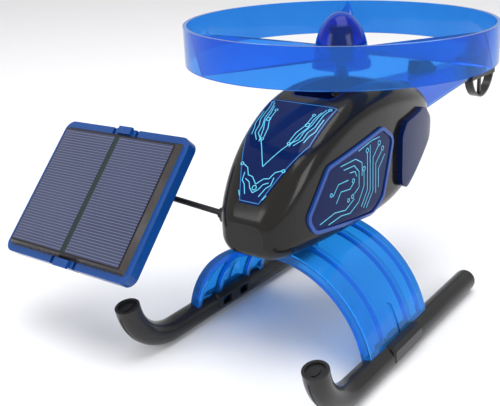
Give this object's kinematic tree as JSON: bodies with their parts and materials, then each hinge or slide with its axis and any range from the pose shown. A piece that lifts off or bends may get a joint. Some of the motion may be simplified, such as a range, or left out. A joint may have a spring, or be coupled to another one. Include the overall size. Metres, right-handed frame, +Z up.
{
  "type": "solar helicopter kit",
  "caption": "Solar toy helicopter on two skids and an arch, with a ring rotor, a small ring tail rotor and a solar panel carried on a swivelling side arm",
  "frame": {"origin": "bottom centre of the whole object's box, on the surface the skids stand on", "axes": "+Z up along the rotor mast, nose towards -Y, port side +X"},
  "size_m": [0.178, 0.2818, 0.1321],
  "materials": {
    "shell_black": "gloss black moulded plastic",
    "skid_black": "gloss dark grey moulded plastic",
    "black_matte": "satin black",
    "clear_blue": "clear bright blue",
    "clear_royal": "clear royal blue",
    "clear_navy": "clear navy blue",
    "rim_blue": "light blue rim",
    "frame_blue": "gloss mid blue",
    "module_black": "resin-coated board",
    "cell_blue": "silicon cells",
    "strip_green": "dark green board",
    "motor_steel": "motor can",
    "steel": "bright steel",
    "bearing_brass": "bronze bush",
    "inner_plastic": "white inner moulding"
  },
  "bodies": {
    "airframe": {"fuselage_port_shell": "shell_black", "fuselage_starboard_shell": "shell_black", "case_screws": "steel", "windshield": "clear_navy", "port_window_rim": "rim_blue", "port_side_window": "clear_navy", "port_rear_pod": "clear_navy", "starboard_window_rim": "rim_blue", "starboard_side_window": "clear_navy", "starboard_rear_pod": "clear_navy", "deck_tray": "clear_navy", "mast_bush": "bearing_brass", "motor_bracket": "inner_plastic", "motor": "motor_steel", "motor_end_cap": "inner_plastic", "motor_screws": "steel", "tail_boom": "clear_royal", "boom_catch": "black_matte", "tail_bracket": "black_matte", "tail_axle": "steel", "axle_cap": "black_matte", "skid_port": "skid_black", "nose_plug_port": "black_matte", "rear_cap_port": "skid_black", "skid_starboard": "skid_black", "nose_plug_starboard": "black_matte", "rear_cap_starboard": "skid_black", "landing_arch": "clear_blue", "belly_clip": "skid_black", "arm_socket": "black_matte"},
    "rotor": {"rotor_ring": "clear_royal", "rotor_blades": "clear_royal", "rotor_hub": "clear_royal", "hub_dome": "clear_navy", "hub_core": "black_matte", "mast": "black_matte", "motor_shaft": "steel"},
    "tail": {"tail_rotor": "skid_black"},
    "arm": {"panel_arm": "black_matte", "arm_retainer": "steel"},
    "panel": {"panel_frame": "frame_blue", "solar_module": "module_black", "solar_cells": "cell_blue", "cell_link_strip": "strip_green", "panel_back": "frame_blue", "knuckle_pin": "steel"}
  },
  "joints": [
    {"name": "rotor_spin", "type": "hinge", "parent": "airframe", "child": "rotor", "pos_m": [0.02402, -0.04298, 0.11], "axis": [0, 0, 1], "continuous": true},
    {"name": "tail_spin", "type": "hinge", "parent": "airframe", "child": "tail", "pos_m": [0.01982, 0.12332, 0.0788], "axis": [1, 0, 0], "continuous": true},
    {"name": "panel_tilt", "type": "hinge", "parent": "airframe", "child": "arm", "pos_m": [0.00982, -0.10258, 0.0589], "axis": [-0.9983, -0.0028, 0.0582], "range_deg": [-8, 50]},
    {"name": "panel_swing", "type": "hinge", "parent": "arm", "child": "panel", "pos_m": [-0.05002, -0.10275, 0.06239], "axis": [-0.0007, 0.6744, 0.7384], "range_deg": [-35, 8]}
  ]
}
